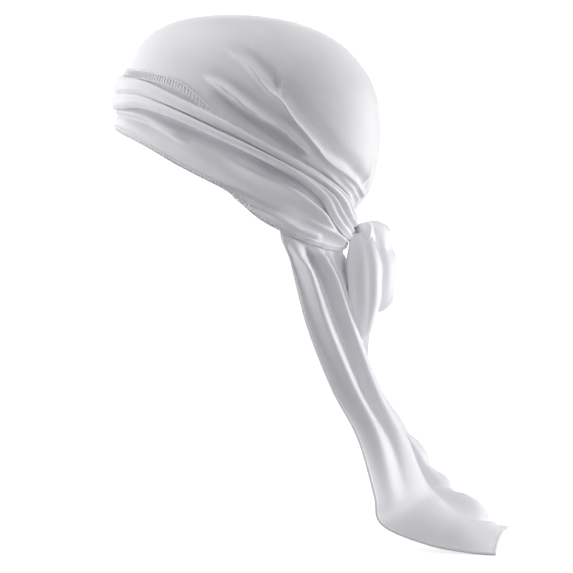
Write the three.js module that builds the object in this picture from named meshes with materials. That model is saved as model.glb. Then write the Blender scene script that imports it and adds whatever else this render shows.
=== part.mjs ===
// Durag: a thin white head wrap, shown as it is worn and tied.
// Millimetres, +Z up. The brow points to -X, the knot to +X and the wearer's left to -Y.
// The origin is the point where the top of the head bears on the inside of the crown.
// Angles called turn run round the head in degrees: 0 at the brow, 90 at the left ear, 180 at the nape.

import * as THREE from "three";
import { ParametricGeometry } from "three/addons/geometries/ParametricGeometry.js";

const { smoothstep, degToRad } = THREE.MathUtils;

// Cloth
const CLOTH = 1.2;
const LAYER = CLOTH + 0.7;
const WHITE = 0xf1f1f4;

// Crown: how far each level lies below the top, and how far it reaches from the origin
const CROWN = columns(["drop", "front", "back", "half"], [
  [0, 0, 0, 0],
  [3, 34, 35, 27],
  [10.6, 54.5, 61.5, 45],
  [21.5, 67.5, 81.5, 58],
  [36, 76, 96, 68],
  [54, 81.5, 107, 74.5],
  [75, 84.5, 111.5, 77],
  [98, 85, 111.5, 76.5],
  [120, 83, 108, 73],
  [134, 80, 103, 69],
  [148, 77, 92.5, 64],
  [160, 74, 86, 59.5],
  [178, 70, 82, 54],
]);
const BROW_NARROWING = 0.1;
const RIM_INSET = 4;
const SWEEP = 50;
const SWEEP_FROM = 10;
const SWEEP_TO = 115;
const SIDE_CROWDING = 15;
const ARC_PER_DEGREE = 1.35;
const FOLD_STARTS = [-0.05, 0.3];
const FOLD_ENDS = [0.9, 1.1];
const FOLD_CLEARS_STRAP = [1, 9];

// Drag folds in the crown, one on each side of the head
const CROWN_FOLDS = rowsOf(["fromTurn", "fromDrop", "toTurn", "toDrop", "height", "width"], {
  mainDragFold: [80, 22, 127, 109, 3.6, 7],
  shortBranch: [100, 36, 104, 62, 2, 5],
  lowerDragFold: [69, 42, 114, 98, 3, 6],
  foldToTheKnot: [122, 102, 164, 142, 3, 6],
  napePleat: [155, 90, 150, 127, 1.4, 5],
});

// Straps: the drop of their upper and lower edges, every 20 degrees from the brow to the nape
const STRAPS = columns(["underTop", "underLow", "overTop", "overLow"], [
  [40, 86, 48, 71],
  [41, 89, 49, 70],
  [43.5, 97, 54.5, 69],
  [55, 112, 66, 80],
  [82, 128.5, 80, 95],
  [102, 150.5, 99, 112.5],
  [122, 164, 119, 137],
  [142, 172.5, 138, 155],
  [154, 176, 151, 167],
  [158, 174, 156, 171],
]);
const STRAP_STEP = 20;
const TUCK_FROM = 96;
const TUCK_TO = 110;

// Gathers that run along the straps; across is 0 at a strap's upper edge and 1 at its lower edge
const GATHER_FADE = 0.2;
const ROLL_CLEARS_STRAP = 6;
const GATHER = ["fromTurn", "toTurn", "fromAcross", "toAcross", "height", "width"];
const UNDER_FOLDS = rowsOf(GATHER, {
  browRoll: [-60, 75, 1.06, 0.5, 2.4, 0.12],
  napeRoll: [100, 190, 0.6, 0.85, 1.6, 0.14],
});
const OVER_FOLDS = rowsOf(GATHER, {
  upperGather: [-40, 220, 0.2, 0.2, 2.4, 0.17],
  lowerGather: [-40, 220, 0.66, 0.72, 2.4, 0.18],
});

// Tail: where its five guide lines leave the straps, and the guide lines' places below that
const TAIL_TURNS = [113, 146, 180, 214, 247];
const TAIL_TUCK = 13;
const TAIL_CLEAR = 2;
const TAIL_GUIDES = {
  nearEdge: [
    [44, -56, -180], [48, -55, -196], [58, -55, -234], [76, -57, -279], [95, -60, -315],
    [107, -60, -356], [115, -58, -376], [148, -64, -390], [178, -70, -397], [198, -75, -399.4],
  ],
  nearRidge: [
    [74, -32, -184], [82, -29, -199], [94, -24, -236], [112, -18, -282], [132, -14, -320],
    [150, -14, -357], [163, -14, -368], [177, -16, -380], [190, -20, -388], [203, -24, -399.4],
  ],
  middle: [
    [85, 0, -186], [85, 0, -201], [86, 2, -238], [104, 5, -284], [128, 8, -323],
    [148, 8, -356], [164, 8, -373], [180, 9, -384], [194, 10, -392], [206, 11, -399.4],
  ],
  farRidge: [
    [75, 32, -186], [82, 32, -202], [95, 30, -240], [113, 28, -286], [141, 27, -324],
    [169, 30, -360], [189, 33, -374], [198, 37, -385], [205, 40, -393], [212, 42, -399.4],
  ],
  farEdge: [
    [45, 57, -181], [48, 57, -196], [58, 58, -235], [77, 60, -280], [98, 64, -318],
    [116, 66, -358], [134, 67, -379], [166, 67, -391], [194, 66, -397], [216, 64, -399.4],
  ],
};
const TAIL_FOLDS_START = [0.13, 0.24];
const TAIL_FOLDS = rowsOf(["across", "height", "width", "fadeFrom", "fadeTo"], {
  nearEdgeRoll: [0.09, 5, 0.05, 0.3, 0.65],
  nearValley: [0.16, -4, 0.05, 0.35, 0.75],
  farValley: [0.86, -4, 0.06, 0.3, 0.7],
  farEdgeRoll: [0.93, 4, 0.05, 0.3, 0.65],
});

// Knot, bow loops and free ends
const KNOT_DROP = 166;
const KNOT_RADII = { x: 8, y: 12, z: 10 };
const KNOT_LUMPS = 0.07;
const KNOT_WRAPS = 3;
const KNOT_TWIST = 2.5;
const KNOT_SEAT = -0.8;
const LOOP_PINCH = [-0.1, 0.4];
const LOOP_CUPPING = 1.6;
const END_FOLD = 2.2;
const END_FOLD_STARTS = [0.05, 0.5];
const LOOPS = [
  {
    name: "bow_loop_left", root: [99, -11.8, -164], shoulder: [106, -46, -156], tip: [99, -31, -218],
    face: [0.55, -1, 0.2], widths: [9, 29, 21], depth: 12,
  },
  {
    name: "bow_loop_right", root: [101, 14, -163], shoulder: [124, 44, -146], tip: [115, 32, -219],
    face: [0.8, 1, 0.2], widths: [9, 27, 18], depth: 12,
  },
];
const ENDS = [
  {
    name: "strap_end_left", root: [99, -4, -176.1], bend: [103, -7, -206], tip: [102.6, -4.5, -254],
    face: [1, -0.4, 0], widths: [9, 17, 18], slant: 8,
  },
  {
    name: "strap_end_right", root: [100, 4, -176], bend: [105, 11, -204], tip: [101.5, 14, -240],
    face: [1, 0.5, 0], widths: [9, 17, 18], slant: 8,
  },
];

// Turns rows of numbers into named columns.
function columns(names, rows) {
  return Object.fromEntries(names.map((name, index) => [name, rows.map((row) => row[index])]));
}

// Turns named rows of numbers into a list of records with named fields.
function rowsOf(names, rows) {
  const record = (row) => Object.fromEntries(names.map((name, index) => [name, row[index]]));
  return Object.values(rows).map(record);
}

// Catmull-Rom value at a fractional place in a list. The ends are carried on straight,
// or mirrored: 1 keeps the sign past the end and -1 turns it.
function spline(list, place, startMirror = 0, endMirror = 0) {
  const last = list.length - 1;
  const pick = (index) => {
    if (index < 0) return startMirror ? startMirror * list[-index] : 2 * list[0] - list[1];
    if (index <= last) return list[index];
    return endMirror ? endMirror * list[2 * last - index] : 2 * list[last] - list[last - 1];
  };
  const start = Math.min(Math.max(Math.floor(place), 0), last - 1);
  const f = place - start;
  const [a, b, c, d] = [-1, 0, 1, 2].map((step) => pick(start + step));
  return b + 0.5 * f * (c - a + f * (2 * a - 5 * b + 4 * c - d + f * (3 * (b - c) + d - a)));
}

// Turn folded onto the left side of the head, which the right side mirrors.
function sideTurn(turn) {
  const whole = ((turn % 360) + 360) % 360;
  return whole > 180 ? 360 - whole : whole;
}

function strapEdge(name, turn) {
  return spline(STRAPS[name], sideTurn(turn) / STRAP_STEP, 1, 1);
}

function crownDrop(level) {
  return spline(CROWN.drop, level, 1);
}

// Level in the crown's table at a given drop, found by halving.
function levelAtDrop(drop) {
  let [low, high] = [0, CROWN.drop.length - 1];
  for (let step = 0; step < 24; step += 1) {
    const middle = (low + high) / 2;
    if (crownDrop(middle) < drop) low = middle;
    else high = middle;
  }
  return (low + high) / 2;
}

// Point on the head at a level and turn, lifted outwards by the layers below it.
function headPoint(level, turn, lift) {
  const [front, back, half] = ["front", "back", "half"].map((name) => spline(CROWN[name], level, -1));
  const [cos, sin] = [Math.cos(degToRad(turn)), Math.sin(degToRad(turn))];
  const x = (back - front) / 2 - ((back + front) / 2 + lift) * cos;
  const y = -(half + lift) * sin * (1 - BROW_NARROWING * cos);
  return new THREE.Vector3(x, y, CLOTH / 2 - crownDrop(level));
}

function ridge(distance, width) {
  return Math.exp(-((distance / width) ** 2));
}

// Height of the crown's drag folds at a turn and drop, flat again under the straps.
function crownFolds(turn, drop) {
  const side = sideTurn(turn);
  const strapTop = Math.min(strapEdge("underTop", side), strapEdge("overTop", side));
  const clear = smoothstep(strapTop - drop, ...FOLD_CLEARS_STRAP);
  let height = 0;
  for (const fold of CROWN_FOLDS) {
    const run = [(fold.toTurn - fold.fromTurn) * ARC_PER_DEGREE, fold.toDrop - fold.fromDrop];
    const from = [(side - fold.fromTurn) * ARC_PER_DEGREE, drop - fold.fromDrop];
    const length = Math.hypot(...run);
    const along = (from[0] * run[0] + from[1] * run[1]) / length ** 2;
    const distance = (from[0] * run[1] - from[1] * run[0]) / length;
    const fade = smoothstep(along, ...FOLD_STARTS) * (1 - smoothstep(along, ...FOLD_ENDS));
    height += fold.height * fade * ridge(distance, fold.width);
  }
  return height * clear;
}

// Height of the gathers along a strap.
function strapFolds(folds, turn, across) {
  const side = sideTurn(turn);
  let height = 0;
  for (const fold of folds) {
    const along = (side - fold.fromTurn) / (fold.toTurn - fold.fromTurn);
    const centre = fold.fromAcross + (fold.toAcross - fold.fromAcross) * along;
    const fade = smoothstep(along, 0, GATHER_FADE) * smoothstep(1 - along, 0, GATHER_FADE);
    height += fold.height * fade * ridge(across - centre, fold.width);
  }
  return height;
}

// Crown surface: round is the way round the head, down runs from the top to the rim.
function crownSurface(round, down) {
  const start = 360 * round + SIDE_CROWDING * Math.sin(4 * Math.PI * round);
  const swept = SWEEP * Math.sin(degToRad(start));
  const rim = strapEdge("underLow", start + swept) - RIM_INSET;
  const level = down * levelAtDrop(rim);
  const drop = crownDrop(level);
  const turn = start + swept * smoothstep(drop, SWEEP_FROM, SWEEP_TO);
  return headPoint(level, turn, crownFolds(turn, drop));
}

// A strap's surface: round goes round the head, across from the upper to the lower edge.
function strapSurface(top, low, layers, folds) {
  return (round, across) => {
    const turn = 360 * round;
    const side = sideTurn(turn);
    const drop = strapEdge(top, turn) * (1 - across) + strapEdge(low, turn) * across;
    const tuck = LAYER * smoothstep(side, TUCK_FROM, TUCK_TO);
    const clear = layers > 1 ? 1 : smoothstep(drop - strapEdge("overLow", turn), 0, ROLL_CLEARS_STRAP);
    const lift = layers * LAYER + tuck + clear * strapFolds(folds, turn, across);
    return headPoint(levelAtDrop(drop), turn, lift);
  };
}

// Tail surface: down runs from the tucked top to the end hem, across from the near to the far edge.
// Its first two rows lie on the head, under the straps, and the guide lines give the other rows.
function tailSurface() {
  const axes = [0, 1, 2];
  const guides = Object.values(TAIL_GUIDES);
  const tucked = [-TAIL_TUCK, TAIL_CLEAR].map((belowHem) => (across) => {
    const turn = spline(TAIL_TURNS, across * (TAIL_TURNS.length - 1));
    return headPoint(levelAtDrop(strapEdge("underLow", turn) + belowHem), turn, LAYER).toArray();
  });
  const hanging = guides[0].map((_, row) => (across) => axes.map((axis) => {
    return spline(guides.map((guide) => guide[row][axis]), across * (guides.length - 1));
  }));
  const rows = [...tucked, ...hanging];
  const base = (down, across) => {
    const line = rows.map((row) => row(across));
    const place = down * (rows.length - 1);
    return new THREE.Vector3(...axes.map((axis) => spline(line.map((point) => point[axis]), place)));
  };
  return (down, across) => {
    const point = base(down, across);
    const out = normalAt(base, down, across);
    const start = smoothstep(down, ...TAIL_FOLDS_START);
    for (const fold of TAIL_FOLDS) {
      const fade = start * (1 - smoothstep(down, fold.fadeFrom, fold.fadeTo));
      point.addScaledVector(out, fold.height * fade * ridge(across - fold.across, fold.width));
    }
    return point;
  };
}

// Point on a bent centre line with three guide points.
function bentLine({ root, shoulder, bend, tip }, along) {
  const [a, b, c] = [root, shoulder ?? bend, tip].map((place) => new THREE.Vector3(...place));
  return new THREE.QuadraticBezierCurve3(a, b, c).getPoint(along);
}

// Direction of a bent centre line, from two points close to each other.
function bentDirection(line, along) {
  const step = 0.02;
  const ahead = bentLine(line, Math.min(along + step, 1));
  return ahead.sub(bentLine(line, Math.max(along - step, 0))).normalize();
}

// Width along a strap's end: at the root, the middle and the tip.
function widthAlong([root, middle, tip], along) {
  return spline([root, middle, tip], along * 2);
}

// Bow loop: round goes out along one wall and back along the other, across over the strap's width.
function loopSurface(loop) {
  const face = new THREE.Vector3(...loop.face).normalize();
  return (round, across) => {
    const phase = 2 * Math.PI * round;
    const out = 0.5 - 0.5 * Math.cos(phase);
    const middle = bentLine(loop, out);
    const side = new THREE.Vector3().crossVectors(face, bentDirection(loop, out)).normalize();
    const offset = across - 0.5;
    const open = smoothstep(out, ...LOOP_PINCH) * (1 - LOOP_CUPPING * offset ** 2);
    const belly = loop.depth * Math.sin(phase) * open;
    return middle.addScaledVector(face, belly).addScaledVector(side, offset * widthAlong(loop.widths, out));
  };
}

// Free end of a strap: along runs from the knot to the cut end, which is slanted.
function endSurface(end) {
  const face = new THREE.Vector3(...end.face).normalize();
  return (along, across) => {
    const middle = bentLine(end, along);
    const ahead = bentDirection(end, along);
    const side = new THREE.Vector3().crossVectors(face, ahead).normalize();
    const offset = across - 0.5;
    const fold = END_FOLD * Math.sin(2 * Math.PI * across) * smoothstep(along, ...END_FOLD_STARTS);
    middle.addScaledVector(ahead, end.slant * offset * along);
    return middle.addScaledVector(face, fold).addScaledVector(side, offset * widthAlong(end.widths, along));
  };
}

// Outward direction of a surface from its two slopes.
function normalAt(surface, u, v) {
  const reach = 0.004;
  const slope = (du, dv) => surface(u + du, v + dv).sub(surface(u - du, v - dv));
  return new THREE.Vector3().crossVectors(slope(0, reach), slope(reach, 0)).normalize();
}

// Spreads steps evenly between two narrow hems, so that a wall stays full up to its edge.
function hemmed(step, steps, hem) {
  if (step <= 0) return 0;
  if (step >= steps) return 1;
  return hem + (1 - 2 * hem) * (step - 1) / (steps - 2);
}

// The same from a pole, with a hem at the rim alone.
function domed(step, steps, hem) {
  return step >= steps ? 1 : (1 - hem) * step / (steps - 1);
}

// Closed cloth wall about a surface. It runs over the outer face from one edge to the other
// and back over the inner face. A ring closes on itself, and a dome starts at a pole.
function clothWall(surface, { along, across, ring = false, dome = false, hem = 0.02 }) {
  const place = (u, v, target) => {
    const step = Math.round(v * 2 * across);
    const outside = step <= across;
    const inStep = outside ? step : 2 * across - step;
    const alongStep = Math.round((1 - u) * along);
    const a = ring ? alongStep / along : hemmed(alongStep, along, hem);
    const b = dome ? domed(inStep, across, hem) : hemmed(inStep, across, hem);
    const atEdge = inStep === across || (!dome && inStep === 0) || (!ring && (a === 0 || a === 1));
    const pole = dome && inStep === 0;
    const out = pole ? new THREE.Vector3(0, 0, 1) : normalAt(surface, a, b);
    const half = atEdge ? 0 : CLOTH / 2;
    target.copy(surface(a, b)).addScaledVector(out, outside ? half : -half);
  };
  return new ParametricGeometry(place, along, 2 * across);
}

// Knot: a round lump with two crossing wraps.
function knotGeometry() {
  const strap = strapSurface("overTop", "overLow", 2, OVER_FOLDS);
  const seat = Math.max(...[0, 0.2, 0.4, 0.6, 0.8, 1].map((across) => strap(0.5, across).x));
  const centre = new THREE.Vector3(seat + KNOT_SEAT + KNOT_RADII.x, 0, -KNOT_DROP);
  const place = (u, v, target) => {
    const [round, down] = [-2 * Math.PI * u, Math.PI * v];
    const lump = 1 + KNOT_LUMPS * Math.sin(down) * Math.cos(KNOT_WRAPS * round + KNOT_TWIST * down);
    const flat = Math.sin(down) * lump;
    target.set(
      centre.x + KNOT_RADII.x * flat * Math.cos(round),
      centre.y + KNOT_RADII.y * flat * Math.sin(round),
      centre.z + KNOT_RADII.z * lump * Math.cos(down),
    );
  };
  return new ParametricGeometry(place, 18, 12);
}

const durag = new THREE.Group();

function addPiece(name, geometry) {
  const material = new THREE.MeshStandardMaterial({ color: WHITE, roughness: 0.62, metalness: 0 });
  const piece = new THREE.Mesh(geometry, material);
  piece.name = name;
  durag.add(piece);
}

addPiece("crown", clothWall(crownSurface, { along: 55, across: 17, ring: true, dome: true, hem: 0.004 }));
addPiece("strap_under", clothWall(
  strapSurface("underTop", "underLow", 1, UNDER_FOLDS), { along: 64, across: 8, ring: true, hem: 0.015 },
));
addPiece("strap_over", clothWall(
  strapSurface("overTop", "overLow", 2, OVER_FOLDS), { along: 64, across: 8, ring: true, hem: 0.04 },
));
addPiece("tail", clothWall(tailSurface(), { along: 28, across: 22, hem: 0.004 }));
addPiece("knot", knotGeometry());
for (const loop of LOOPS) {
  addPiece(loop.name, clothWall(loopSurface(loop), { along: 22, across: 5, ring: true, hem: 0.03 }));
}
for (const end of ENDS) {
  addPiece(end.name, clothWall(endSurface(end), { along: 9, across: 6, hem: 0.03 }));
}

export default durag;
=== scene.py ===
# %% [markdown]
# # A white durag, worn and tied
# The real thing is a cap of thin satin knit with two long straps and a tail. The straps go round the
# head, cross at the brow and the nape, and end in a bow above the tail. This lesson loads the packed
# model as a fixed frame, works out every piece of cloth with numpy as a function of two parameters,
# and gives each one its folds, its stitching and its finish.

import bpy
import numpy as np
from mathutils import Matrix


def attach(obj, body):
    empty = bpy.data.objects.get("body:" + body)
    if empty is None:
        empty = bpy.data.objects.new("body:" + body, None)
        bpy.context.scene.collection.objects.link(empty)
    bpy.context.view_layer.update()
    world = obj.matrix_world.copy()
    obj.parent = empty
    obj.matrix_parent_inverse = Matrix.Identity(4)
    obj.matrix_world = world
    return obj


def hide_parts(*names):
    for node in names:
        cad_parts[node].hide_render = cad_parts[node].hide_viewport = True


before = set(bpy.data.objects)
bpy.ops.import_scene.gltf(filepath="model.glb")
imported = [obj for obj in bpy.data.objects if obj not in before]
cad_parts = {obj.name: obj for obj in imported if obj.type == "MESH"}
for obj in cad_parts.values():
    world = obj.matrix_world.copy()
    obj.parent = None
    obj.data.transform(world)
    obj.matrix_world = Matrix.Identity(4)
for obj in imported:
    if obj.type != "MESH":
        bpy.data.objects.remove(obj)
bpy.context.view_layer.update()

print("nodes:", ", ".join(sorted(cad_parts)))

# %% [markdown]
# ## The sizes that all the cloth shares
# Every length is in millimetres until a mesh is made. Three numbers place a point on the head: turn, the
# angle round it, with 0 at the brow, 90 at the left ear and 180 at the nape; drop, how far it lies below
# the top; and lift, how far it stands out. The cap could be sculpted, but a table of cross sections keeps
# it on the model's own sizes, and a smooth spline through the rows gives a dome with no kinks.

# %% Spline and smooth step
MM = 0.001
WALL = 1.0
LAYER = 1.9


def smoothstep(value, start, end):
    """Rises from 0 at start to 1 at end along 3t^2 - 2t^3, where t is the share of the way."""
    t = np.clip((value - start) / (end - start), 0, 1)
    return t * t * (3 - 2 * t)


def spline(table, place, before=0, after=0):
    """Catmull-Rom value at a fractional place in a table. Past an end the table runs on straight, or it is
    mirrored: 1 keeps the sign there and -1 turns it."""
    rows = np.asarray(table, float)
    first = before * rows[1] if before else 2 * rows[0] - rows[1]
    last = after * rows[-2] if after else 2 * rows[-1] - rows[-2]
    padded = np.concatenate([first[None], rows, last[None]])
    place = np.asarray(place, float)
    start = np.clip(np.floor(place).astype(int), 0, len(rows) - 2)
    f = (place - start).reshape(place.shape + (1,) * (rows.ndim - 1))
    a, b, c, d = (padded[start + step] for step in range(4))
    return b + 0.5 * f * (c - a + f * (2 * a - 5 * b + 4 * c - d + f * (3 * (b - c) + d - a)))


# %% Points on the head
HEAD = np.array([
    # drop, front, back, half
    [0, 0, 0, 0],
    [3, 34, 35, 27],
    [10.6, 54.5, 61.5, 45],
    [21.5, 67.5, 81.5, 58],
    [36, 76, 96, 68],
    [54, 81.5, 107, 74.5],
    [75, 84.5, 111.5, 77],
    [98, 85, 111.5, 76.5],
    [120, 83, 108, 73],
    [134, 80, 103, 69],
    [148, 77, 92.5, 64],
    [160, 74, 86, 59.5],
    [178, 70, 82, 54],
], float)
BROW_NARROWING = 0.1
TOP = 0.6
LEVELS = np.linspace(0, len(HEAD) - 1, 4001)
LEVEL_DROPS = spline(HEAD[:, 0], LEVELS, before=1)


def level_at(drop):
    """Place in the head's table at a drop."""
    return np.interp(drop, LEVEL_DROPS, LEVELS)


def head_point(turn, drop, lift=0.0):
    """Point on an egg-shaped ring: x = middle - (half length + lift) cos(turn) and
    y = -(half width + lift) sin(turn), a little narrower at the brow, at a height of TOP - drop."""
    turn, drop, lift = np.broadcast_arrays(turn, drop, lift)
    level = level_at(drop)
    front, back, half = (spline(HEAD[:, column], level, before=-1) for column in (1, 2, 3))
    cos, sin = np.cos(np.radians(turn)), np.sin(np.radians(turn))
    x = (back - front) / 2 - ((back + front) / 2 + lift) * cos
    y = -(half + lift) * sin * (1 - BROW_NARROWING * cos)
    return np.stack([x, y, TOP - drop], axis=-1)


def side_turn(turn):
    """Turn folded onto the left side, so that the right side mirrors it."""
    whole = np.mod(turn, 360)
    return np.minimum(whole, 360 - whole)


longest, widest = (HEAD[:, 1] + HEAD[:, 2]).max() / 2, HEAD[:, 3].max()
print("round the head at the widest: about", round(np.pi * (longest + widest)), "mm")

# %% [markdown]
# ## Folds as ridges along paths
# Stretched knit folds in long drag lines that run from where it is held to where it is pulled. A fold is a
# path on the head, given by a few places of turn and drop, with a ridge that is steeper on one flank and
# a valley beside it. Sculpting or a cloth simulation would give folds too, but not where the straps pull
# them on this wrap, so each ridge is drawn from its own path.

# %% Distance to a path, and the ridge along it
PATH_SAMPLES = 48
RIDGE_POWER, VALLEY_SHARE = 1.5, 0.6


def path_distance(turn, drop, path):
    """Distance on the head from each point to a path, above it negative and below it positive, and the
    share of the path where the nearest place lies. The path is a spline, cut into short straight runs."""
    rows = np.array(path, float)
    line = spline(rows, np.linspace(0, len(rows) - 1, PATH_SAMPLES))
    corners = head_point(line[:, 0], line[:, 1])
    runs = np.diff(corners, axis=0)
    offset = head_point(turn, drop)[..., None, :] - corners[:-1]
    share = np.clip((offset * runs).sum(-1) / (runs ** 2).sum(-1), 0, 1)
    gap = np.linalg.norm(offset - share[..., None] * runs, axis=-1)
    nearest = gap.argmin(-1)
    nearest_gap, nearest_share = (
        np.take_along_axis(values, nearest[..., None], -1)[..., 0] for values in (gap, share))
    step = np.diff(line, axis=0)[nearest]
    away = np.stack([turn, drop], -1) - line[nearest]
    below = np.sign(step[..., 0] * away[..., 1] - step[..., 1] * away[..., 0])
    return nearest_gap * below, (nearest + nearest_share) / (PATH_SAMPLES - 1)


def fold_height(turn, drop, folds):
    """Sum of ridges: height exp(-|d/flank|^power) with a flank above and one below the path, less
    dip exp(-((d - reach) / (share of reach))^2) for the valley. Each fold fades in and out along its path."""
    total = np.zeros(np.broadcast(turn, drop).shape)
    for height, above, below, dip, reach, fade_in, fade_out, path in folds.values():
        gap, along = path_distance(turn, drop, path)
        flank = np.where(gap < 0, above, below)
        ridge = height * np.exp(-np.abs(gap / flank) ** RIDGE_POWER)
        valley = dip * np.exp(-((gap - reach) / (VALLEY_SHARE * reach)) ** 2)
        total += (ridge - valley) * smoothstep(along, 0, fade_in) * (1 - smoothstep(along, fade_out, 1))
    return total


RIGHT_SLIP = (-5.0, 4.0)


def fold_place(turn, drop):
    """Turn and drop at which folds are looked up. The right side mirrors the left one, a little slipped,
    because no two sides of a wrap fold alike."""
    side = side_turn(turn)
    slip = np.where(np.mod(turn, 360) > 180, np.sin(np.radians(side)), 0)
    return side + RIGHT_SLIP[0] * slip, drop + RIGHT_SLIP[1] * slip


# %% [markdown]
# ## From a function to a mesh
# A surface is sampled on a grid as whole arrays. Corners, faces and UV are arrays too, so a grid of
# thousands of faces is made in one go. The UV map is in millimetres of cloth, so the knit keeps one scale
# on every piece. Solidify then gives the sheet its thickness.

# %% Directions and lengths on a surface
def unit(vectors):
    """Each vector divided by its length."""
    return vectors / np.linalg.norm(vectors, axis=-1, keepdims=True)


def surface_normal(surface, u, v, reach=0.002):
    """Outward direction: the cross product of the slopes down and along, from points close by."""
    along = surface(u + reach, v) - surface(u - reach, v)
    down = surface(u, v + reach) - surface(u, v - reach)
    return unit(np.cross(down, along))


def cloth_uv(points):
    """Mean length along and across a grid of points, so that UV is in millimetres of cloth."""
    steps = np.linalg.norm(np.diff(points, axis=0), axis=-1).mean(1)
    rows = np.linalg.norm(np.diff(points, axis=1), axis=-1).mean(0)
    u, v = (np.concatenate([[0], np.cumsum(lengths)]) for lengths in (steps, rows))
    return np.stack(np.meshgrid(u, v, indexing="ij"), -1)


def parameters(columns, rows, ring=False):
    """Two grids of parameters from 0 to 1. A ring leaves out the last column, which is the first again."""
    u = np.linspace(0, 1, columns, endpoint=not ring)
    return np.meshgrid(u, np.linspace(0, 1, rows), indexing="ij")


# %% Arrays to a mesh
def new_object(name, corners, loops, starts, loop_uv=None):
    """Mesh object from arrays: corners in millimetres, the corner of each loop, each face's first loop."""
    mesh = bpy.data.meshes.new(name)
    mesh.vertices.add(len(corners))
    mesh.vertices.foreach_set("co", (corners * MM).astype(np.float32).ravel())
    mesh.loops.add(len(loops))
    mesh.loops.foreach_set("vertex_index", loops.astype(np.int32))
    mesh.polygons.add(len(starts))
    mesh.polygons.foreach_set("loop_start", starts.astype(np.int32))
    mesh.polygons.foreach_set("use_smooth", np.ones(len(starts), dtype=bool))
    if loop_uv is not None:
        mesh.uv_layers.new(name="cloth").data.foreach_set("uv", loop_uv.astype(np.float32).ravel())
    mesh.update(calc_edges=True)
    mesh.validate()
    piece = bpy.data.objects.new(name, mesh)
    bpy.context.collection.objects.link(piece)
    return piece


def thicken(piece):
    """Solidify half a wall to each side of the sheet."""
    wall = piece.modifiers.new("wall", "SOLIDIFY")
    wall.thickness = WALL * MM
    wall.offset = 0
    return piece


# %% Grid to mesh
def grid_object(name, points, uv, ring=False, first=None, last=None):
    """Grid of points (along, across, xyz) as quads, turned outwards. A ring closes on its first column, and
    a pole, given as a point and its UV, closes the first or the last row with triangles. uv has one more
    column than a ring has points."""
    columns, rows = points.shape[:2]
    spans = columns if ring else columns - 1
    i, j = (index.ravel() for index in np.meshgrid(np.arange(spans), np.arange(rows - 1), indexing="ij"))
    ahead = np.stack([i, i, i + 1, i + 1], 1)
    across = np.stack([j, j + 1, j + 1, j], 1)
    loops = ((ahead % columns) * rows + across).ravel()
    loop_uv = uv[ahead, across].reshape(-1, 2)
    corners = points.reshape(-1, 3)
    starts = np.arange(len(i)) * 4
    k = np.arange(spans)
    for pole, row, turn in ((first, 0, 0), (last, rows - 1, 1)):
        if pole is None:
            continue
        sides = [(k % columns) * rows + row, ((k + 1) % columns) * rows + row]
        side_uv = [uv[k, row], uv[k + 1, row]]
        fan = [np.full(spans, len(corners)), sides[turn], sides[1 - turn]]
        fan_uv = [np.broadcast_to(pole[1], (spans, 2)), side_uv[turn], side_uv[1 - turn]]
        starts = np.concatenate([starts, len(loops) + k * 3])
        loops = np.concatenate([loops, np.stack(fan, 1).ravel()])
        loop_uv = np.concatenate([loop_uv, np.stack(fan_uv, 1).reshape(-1, 2)])
        corners = np.concatenate([corners, np.asarray(pole[0], float)[None]])
    return new_object(name, corners, loops, starts, loop_uv)


# %% [markdown]
# ## Threads and hems
# A thread or a rolled hem is a thin round tube. A curve object with a bevel could draw it, but the stitches
# number hundreds, so all the tubes of one kind are worked out together in one array and share a mesh.

# %% Tubes
def tube_object(name, paths, normals, radius, sides):
    """Round tubes about paths (tube, step, xyz): radius (cos a side + sin a up) round every step, where side
    is the cross product of the path's direction and the normal. Both ends are capped."""
    count, steps = paths.shape[:2]
    ahead = np.gradient(paths, axis=1)
    side = unit(np.cross(ahead, normals))
    up = unit(np.cross(side, ahead))
    angle = 2 * np.pi * np.arange(sides)[:, None] / sides
    corners = paths[:, :, None] + radius * (np.cos(angle) * side[:, :, None] + np.sin(angle) * up[:, :, None])
    index = np.arange(count * steps * sides).reshape(count, steps, sides)
    near, far = index[:, :-1], index[:, 1:]
    loops = np.stack([near, far, np.roll(far, -1, 2), np.roll(near, -1, 2)], -1).ravel()
    caps = np.concatenate([index[:, 0], index[:, -1, ::-1]])
    starts = np.concatenate([np.arange(len(loops) // 4) * 4, len(loops) + np.arange(len(caps)) * sides])
    return new_object(name, corners.reshape(-1, 3), np.concatenate([loops, caps.ravel()]), starts)


# %% [markdown]
# ## Straps: where they lie
# Two turns of strap go round the head, one over the other. Their edges dip from the brow to the nape, so a
# short table gives the drop of each edge every 20 degrees, and the spline mirrors it at the brow and nape.

# %% Edges of the straps
STRAP_STEP = 20
UNDER_TOP = [40, 41, 43, 51.5, 78, 102, 122, 142, 154, 158]
UNDER_LOW = [86, 89, 97, 112, 128.5, 150.5, 164, 172.5, 176, 174]
OVER_TOP = [46, 47, 50.5, 62, 78, 97.5, 116.5, 135, 149, 154]
OVER_LOW = [71, 70, 69.5, 77.5, 92.5, 110.5, 131, 152, 166, 171]
TUCK = (96, 110)


def strap_edge(table, turn):
    """Drop of a strap's edge at a turn."""
    return spline(table, side_turn(turn) / STRAP_STEP, before=1, after=1)


def strap_tuck(turn):
    """Extra lift behind the ear, where the tail is tucked under the straps."""
    return LAYER * smoothstep(side_turn(turn), *TUCK)


print("under strap at the temple:", UNDER_LOW[3] - UNDER_TOP[3], "mm wide")

# %% [markdown]
# ## Crown
# The crown is the cap itself: a stretch knit pulled tight over the head, smooth on top, with sharp drag
# folds that run from the temple down to the knot. A polar grid would put all its rows where the folds
# aren't. So the columns crowd at the sides and sweep backwards as they go down, along the folds, and most
# of the rows lie above the straps, which hide the rest. The rows go down the outside, turn under at the rim
# and come back up the inside, so the crown is one closed wall without Solidify.

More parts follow.
